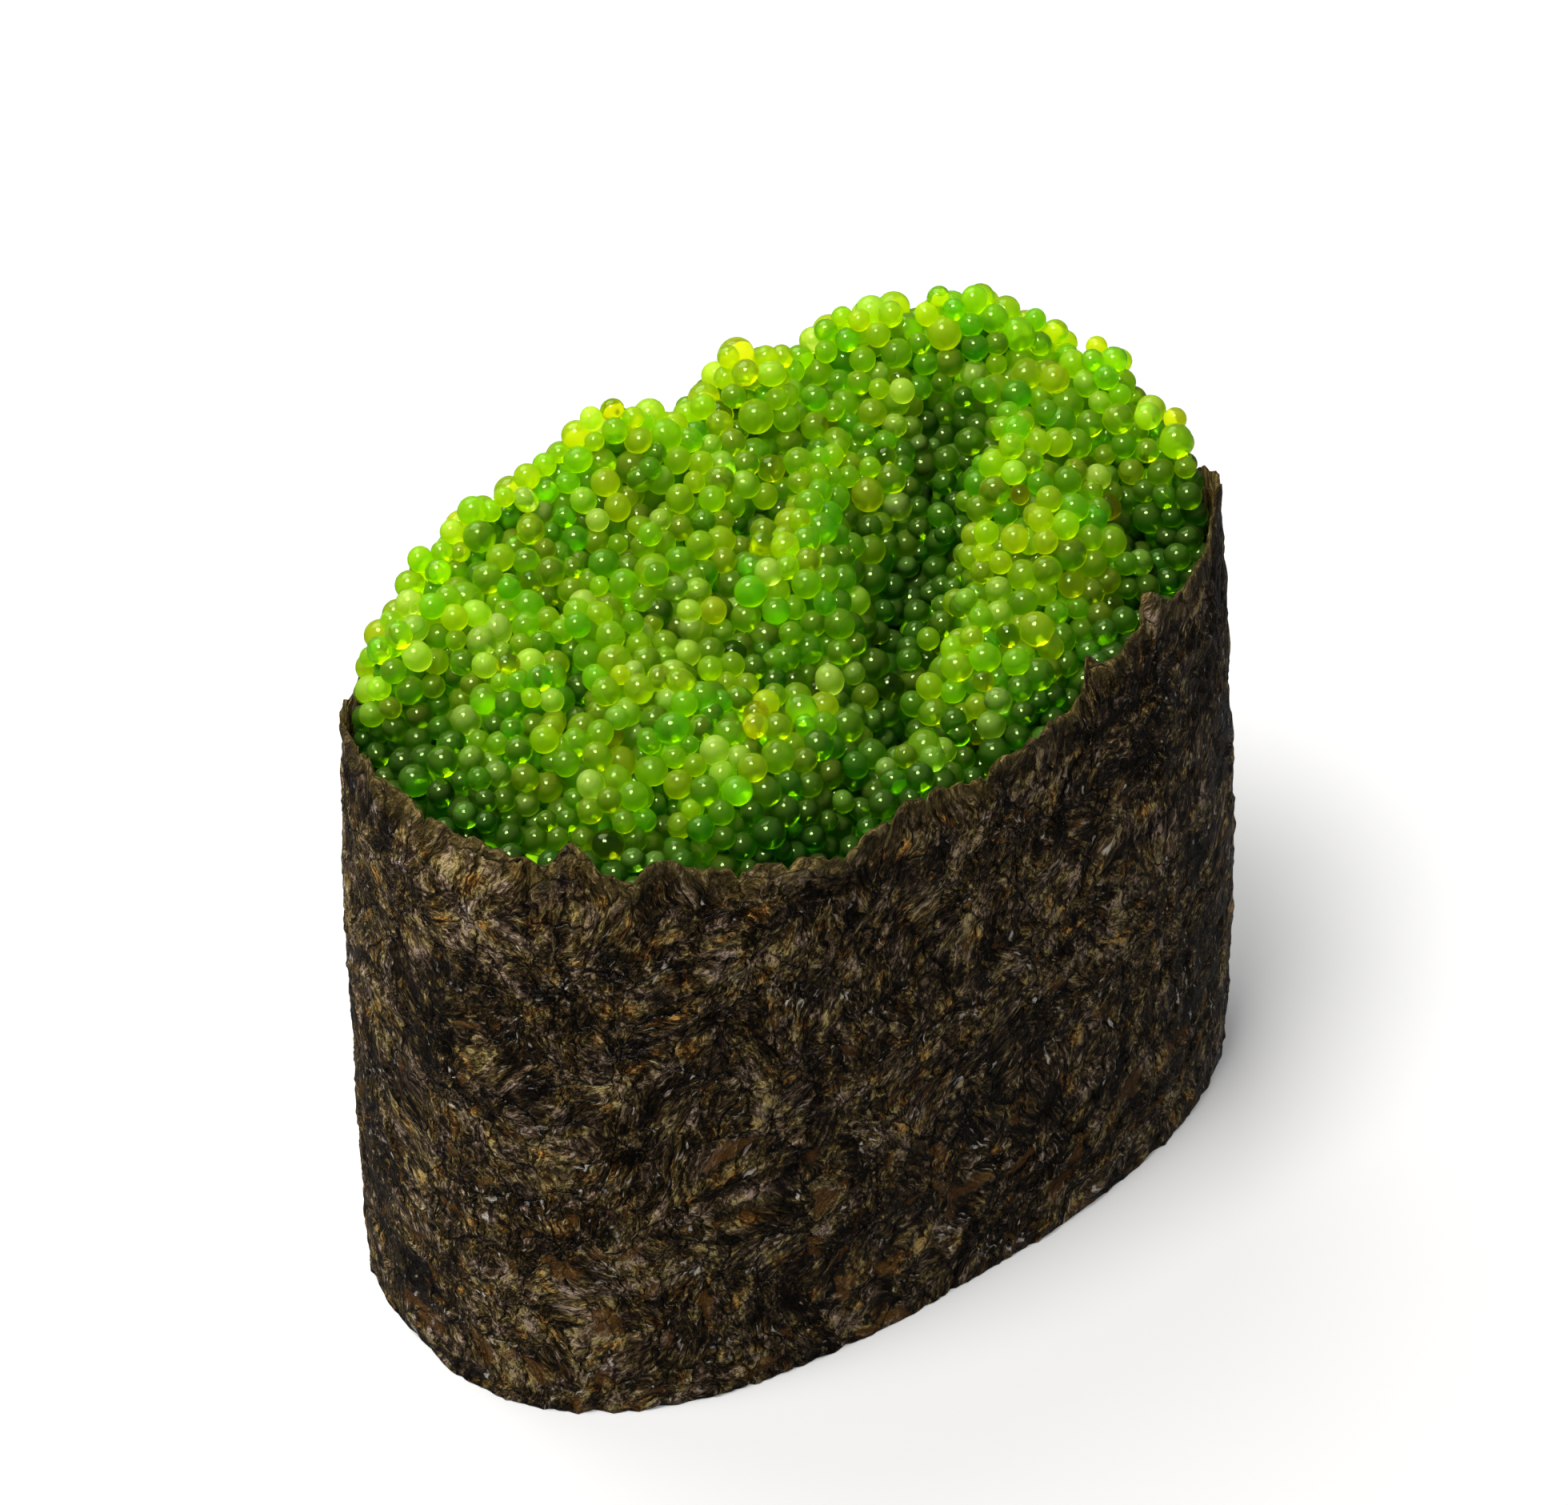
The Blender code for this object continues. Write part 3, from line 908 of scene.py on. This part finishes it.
def nori_material():
    """Pressed seaweed: scraps of leaf, each with its own tone and run of fibres, and cracks."""
    tree = Nodes("nori_sheet")
    sheet = tree.attribute("flow", "Vector")
    jitter = tree.add("TexNoise")
    tree.put(tree.scaled(sheet, (1.3, 1.1, 1.0)), jitter.inputs["Vector"])
    jitter.inputs["Scale"].default_value = 1.0
    jitter.inputs["Detail"].default_value = 2.0
    jitter.inputs["Roughness"].default_value = 0.65
    torn = tree.shifted(sheet, jitter.outputs["Color"], 0.75)

    scraps = tree.cells(tree.scaled(torn, (0.50, 0.33, 1.0)))
    bits = tree.cells(tree.scaled(torn, (1.25, 0.80, 1.0), (5.0, 9.0, 0.0)))
    big_value = tree.part(scraps, 0)
    big_turn = tree.part(scraps, 1)
    small_value = tree.part(bits, 0)
    small_hue = tree.part(bits, 1)

    turned = tree.rotated(torn, tree.maths("MULTIPLY", tree.maths("SUBTRACT", big_turn, 0.5), 1.5))
    fibres = tree.noise(tree.scaled(turned, (2.3, 0.8, 1.0)), 3.5, 0.68, 0.2)
    threads = tree.noise(tree.scaled(turned, (9.0, 2.4, 1.0)), 1.0, 0.6, 0.3)
    grains = tree.noise(tree.scaled(torn, (4.2, 3.2, 1.0), (1.0, 6.0, 0.0)), 3.0, 0.72)
    clouds = tree.noise(tree.scaled(sheet, (0.36, 0.30, 1.0), (7.0, 3.0, 0.0)), 2.0, 0.6)
    edges = tree.edge(tree.scaled(torn, (0.50, 0.33, 1.0)))

    tone = tree.total((
        (fibres, 0.70), (threads, 0.30), (grains, 0.66), (big_value, 0.07), (small_value, 0.07),
        (tree.attribute("relief"), 0.36), (clouds, 0.46),
    ))
    crack = tree.steps(edges, 0.0, 0.035)
    tone = tree.maths("SUBTRACT", tone, 0.240)
    tone = tree.maths("SUBTRACT", tone, tree.maths("MULTIPLY", tree.maths("SUBTRACT", 1.0, crack), 0.10))
    colour = tree.ramp(tone, (
        (0.76, (0.0012, 0.0008, 0.0003)),
        (0.87, (0.0085, 0.0055, 0.0022)),
        (0.94, (0.0260, 0.0180, 0.0085)),
        (1.00, (0.0620, 0.0470, 0.0260)),
    ))
    # The lightest tones turn pale grey: partly pale fibres, partly painted glints.
    colour = tree.blend(tree.steps(tone, 1.00, 1.12), colour, (0.21, 0.18, 0.135))
    hue = tree.noise(tree.scaled(torn, (0.8, 0.7, 1.0), (41.0, 13.0, 0.0)), 1.0, 0.6)
    hue = tree.maths("ADD", hue, tree.maths("MULTIPLY", tree.maths("SUBTRACT", small_hue, 0.5), 0.10))
    tint = tree.ramp(hue, (
        (0.34, (1.08, 0.92, 0.95)),
        (0.46, (1.14, 0.95, 0.72)),
        (0.54, (1.08, 1.02, 0.50)),
        (0.62, (1.22, 0.96, 0.42)),
        (0.70, (1.60, 0.96, 0.26)),
    ))
    colour = tree.blend(1.0, colour, tint, "MULTIPLY")
    # Painted glints: pale streaks put into the base colour, more of them lower on the sheet.
    streaks = tree.noise(tree.scaled(turned, (3.6, 1.3, 1.0), (3.0, 8.0, 0.0)), 1.0, 0.55)
    clusters = tree.noise(tree.scaled(sheet, (0.45, 0.38, 1.0), (17.0, 2.0, 0.0)), 0.0, 0.5)
    streaks = tree.maths("ADD", streaks, tree.maths("MULTIPLY", tree.maths("SUBTRACT", clusters, 0.5), 0.35))
    streaks = tree.maths("SUBTRACT", streaks, tree.maths("MULTIPLY", tree.attribute("height"), 0.035))
    glint = tree.steps(streaks, 0.66, 0.82)
    colour = tree.blend(tree.maths("MULTIPLY", glint, 0.8), colour, (0.46, 0.42, 0.37))

    spots = tree.noise(tree.scaled(torn, (0.52, 0.52, 1.0), (11.0, 29.0, 0.0)), 1.0, 0.5, 0.4)
    low = tree.maths("SUBTRACT", 0.08, tree.maths("MULTIPLY", tree.attribute("height"), 0.13))
    amber = tree.steps(tree.maths("ADD", spots, low), 0.68, 0.74)
    colour = tree.blend(tree.maths("MULTIPLY", amber, 0.6), colour, (0.085, 0.034, 0.004))
    edge = tree.attribute("rim")
    rim_colour = tree.ramp(fibres, ((0.35, (0.010, 0.007, 0.002)), (0.52, (0.060, 0.042, 0.010)),
                                    (0.68, (0.18, 0.13, 0.040))))
    colour = tree.blend(tree.maths("MULTIPLY", edge, 0.8), colour, rim_colour)
    tree.put(colour, tree.shader.inputs["Base Color"])

    gloss = tree.total(((grains, 0.35), (small_value, 0.22), (big_value, 0.12)))
    tree.put(tree.maths("ADD", gloss, 0.02, True), tree.shader.inputs["Roughness"])
    tree.shader.inputs["Specular IOR Level"].default_value = 0.10
    bump = tree.add("Bump")
    bump.inputs["Strength"].default_value = 1.0
    bump.inputs["Distance"].default_value = 0.00034
    height = tree.total(((fibres, 1.2), (threads, 0.45), (grains, 0.7), (small_value, 0.25), (crack, 0.35)))
    tree.put(height, bump.inputs["Height"])
    tree.put(bump.outputs["Normal"], tree.shader.inputs["Normal"])
    return tree.material


def make_nori():
    return new_piece("nori_sheet", nori_mesh(), nori_material(), "nori")


# ---------------------------------------------------------------- rice

GRAIN_HALF_SIZES = (2.55, 1.15, 0.95)
GRAIN_SPACING = 2.3
CORE_INSET = 0.975
CORE_FLOOR = 1.1
CORE_TAPER = 0.968


def rice_material(name, dark, pale):
    """Cooked rice: off-white, mottled and a little see-through."""
    tree = Nodes(name)
    place = tree.add("TexCoord").outputs["Object"]
    mottle = tree.noise(tree.scaled(place, (700.0, 700.0, 700.0)), 4.0, 0.6)
    streaks = tree.noise(tree.scaled(place, (2600.0, 2600.0, 2600.0)), 2.0, 0.5)
    tone = tree.total(((mottle, 0.7), (streaks, 0.3)))
    tree.put(tree.ramp(tone, ((0.35, dark), (0.62, pale))), tree.shader.inputs["Base Color"])
    tree.put(tree.maths("ADD", tree.maths("MULTIPLY", streaks, 0.35), 0.12), tree.shader.inputs["Roughness"])
    tree.shader.inputs["Subsurface Weight"].default_value = 0.35
    tree.shader.inputs["Subsurface Radius"].default_value = (1.0, 0.9, 0.7)
    tree.shader.inputs["Subsurface Scale"].default_value = 0.0009
    bump = tree.add("Bump")
    bump.inputs["Strength"].default_value = 0.5
    bump.inputs["Distance"].default_value = 0.00008
    tree.put(tone, bump.inputs["Height"])
    tree.put(bump.outputs["Normal"], tree.shader.inputs["Normal"])
    return tree.material


def grain_places():
    """Places on the underside that keep their distance from each other."""
    places = []
    for _ in range(9000):
        x = RNG.uniform(-HALF_LENGTH, HALF_LENGTH)
        y = RNG.uniform(-HALF_WIDTH, HALF_WIDTH)
        if wall_share(x, y, 0.0) > 0.955:
            continue
        if all(math.hypot(x - other_x, y - other_y) > GRAIN_SPACING for other_x, other_y in places):
            places.append((x, y))
    return np.array(places)


def lying_turns(count):
    """Rotation matrices for grains that lie at any heading and tip a little."""
    heading = RNG.uniform(0.0, 2.0 * math.pi, count)
    tip = RNG.normal(0.0, 0.14, count)
    flat = np.zeros(count)
    whole = np.ones(count)
    turn = np.array([[np.cos(heading), -np.sin(heading), flat],
                     [np.sin(heading), np.cos(heading), flat],
                     [flat, flat, whole]]).transpose(2, 0, 1)
    lean = np.array([[np.cos(tip), flat, np.sin(tip)],
                     [flat, whole, flat],
                     [-np.sin(tip), flat, np.cos(tip)]]).transpose(2, 0, 1)
    return turn @ lean


def make_rice():
    places = grain_places()
    count = len(places)
    centres = np.column_stack([places, RNG.uniform(0.62, 1.05, count)])
    sizes = np.repeat(np.array([GRAIN_HALF_SIZES]), count, 0)
    mesh = ball_mesh("rice_grains", centres, sizes, lying_turns(count), 3, 0.07)
    points = np.empty(len(mesh.vertices) * 3, np.float32)
    mesh.vertices.foreach_get("co", points)
    points = points.reshape(-1, 3) / MM
    points[:, 2] = np.maximum(points[:, 2], 0.0)
    share = wall_share(*points.T)
    points[:, :2] /= np.maximum(share / 0.995, 1.0)[:, None]
    mesh.vertices.foreach_set("co", (points * MM).astype(np.float32).ravel())
    mesh.update()
    material = rice_material("rice_grains", (0.66, 0.63, 0.54), (0.86, 0.84, 0.77))
    new_piece("rice_grains", mesh, material, "rice")
    make_rice_core()


def make_rice_core():
    """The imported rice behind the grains, as high as the CAD block."""
    columns = 220
    angles = np.linspace(0.0, 2.0 * math.pi, columns, endpoint=False)[None, :]
    rim_x, rim_y = oval_point(angles)
    rings = np.linspace(0.04, 1.0, 36)[:, None]
    x = rim_x * rings * CORE_INSET
    y = rim_y * rings * CORE_INSET
    z = CORE_FLOOR + 0.35 * layered_noise(x / 1.6, y / 1.6, 3, 95)
    under = np.stack([x, y, z], -1)
    top = np.stack([x * CORE_TAPER, y * CORE_TAPER, np.full_like(z, RICE_HIGH[2] / MM)], -1)
    points = np.concatenate([under, top[::-1]], 0)
    rows = len(points)
    index = np.arange(rows * columns).reshape(rows, columns)
    after = np.roll(index, -1, axis=1)
    faces = np.stack([index[:-1], after[:-1], after[1:], index[1:]], -1).reshape(-1, 4)
    mesh = mesh_from_arrays("rice_core", points.reshape(-1, 3), faces)
    close_ends(mesh)
    # The core is coloured darker than the grains, and shows between them.
    material = rice_material("rice_core", (0.42, 0.39, 0.31), (0.62, 0.59, 0.50))
    new_piece("rice_core", mesh, material, "rice")


# ---------------------------------------------------------------- stage

AZIMUTH = math.radians(-35.46)
ELEVATION = math.radians(43.0)
ROLL = math.radians(-1.88)
DISTANCE = 0.3394
AIM = Vector((0.00725, 0.01097, 0.01410))


def make_camera():
    back = Vector((math.sin(AZIMUTH) * math.cos(ELEVATION),
                   -math.cos(AZIMUTH) * math.cos(ELEVATION),
                   math.sin(ELEVATION)))
    camera = bpy.data.cameras.new("camera")
    camera.lens = 150.0
    camera.sensor_width = 36.0
    camera.clip_start = 0.01
    holder = bpy.data.objects.new("camera", camera)
    bpy.context.scene.collection.objects.link(holder)
    turn = (-back).to_track_quat("-Z", "Y").to_matrix().to_4x4()
    holder.matrix_world = Matrix.Translation(AIM + back * DISTANCE) @ turn @ Matrix.Rotation(ROLL, 4, "Z")
    bpy.context.scene.camera = holder


def add_area(name, place, size, power, colour):
    light = bpy.data.lights.new(name, "AREA")
    light.shape = "DISK"
    light.size = size
    light.energy = power
    light.color = colour
    holder = bpy.data.objects.new(name, light)
    bpy.context.scene.collection.objects.link(holder)
    holder.location = place
    aim = Vector((0.0, 0.0, 0.03)) - place
    holder.rotation_mode = "QUATERNION"
    holder.rotation_quaternion = aim.to_track_quat("-Z", "Y")
    return holder


def camera_axes():
    right = Vector((math.cos(AZIMUTH), math.sin(AZIMUTH), 0.0))
    away = Vector((-math.sin(AZIMUTH), math.cos(AZIMUTH), 0.0))
    return right, away


def make_lights():
    right, away = camera_axes()
    up = Vector((0.0, 0.0, 1.0))
    world = bpy.data.worlds.new("studio")
    world.use_nodes = True
    background = world.node_tree.nodes["Background"]
    sky = world.node_tree.nodes.new("ShaderNodeTexCoord")
    parts = world.node_tree.nodes.new("ShaderNodeSeparateXYZ")
    shade = world.node_tree.nodes.new("ShaderNodeMapRange")
    shade.inputs["From Min"].default_value = -0.1
    shade.inputs["From Max"].default_value = 0.7
    shade.inputs["To Min"].default_value = 0.16
    shade.inputs["To Max"].default_value = 0.26
    world.node_tree.links.new(sky.outputs["Generated"], parts.inputs["Vector"])
    world.node_tree.links.new(parts.outputs["Z"], shade.inputs["Value"])
    world.node_tree.links.new(shade.outputs["Result"], background.inputs["Strength"])
    background.inputs["Color"].default_value = (1.0, 1.0, 1.0, 1.0)
    bpy.context.scene.world = world
    add_area("key", -right * 0.19 - away * 0.17 + up * 0.79, 0.34, 16.5, (1.0, 0.99, 0.97))
    add_area("soft", -right * 0.32 + away * 0.45 + up * 0.74, 0.80, 10.5, (1.0, 1.0, 0.98))


def make_floor():
    mesh = bpy.data.meshes.new("floor")
    shape = bmesh.new()
    bmesh.ops.create_grid(shape, x_segments=1, y_segments=1, size=1.5)
    shape.to_mesh(mesh)
    shape.free()
    floor = bpy.data.objects.new("floor", mesh)
    bpy.context.scene.collection.objects.link(floor)
    floor.location.z = -0.00005
    material = bpy.data.materials.new("floor")
    material.use_nodes = True
    shader = material.node_tree.nodes["Principled BSDF"]
    shader.inputs["Base Color"].default_value = (0.28, 0.28, 0.28, 1.0)
    shader.inputs["Emission Color"].default_value = (1.0, 1.0, 1.0, 1.0)
    shader.inputs["Emission Strength"].default_value = 0.21
    shader.inputs["Roughness"].default_value = 0.6
    shader.inputs["Specular IOR Level"].default_value = 0.2
    mesh.materials.append(material)
    floor.visible_glossy = False


make_camera()
make_lights()
make_floor()
make_nori()
make_rice()
make_roe()
bpy.context.scene.view_settings.view_transform = "Standard"
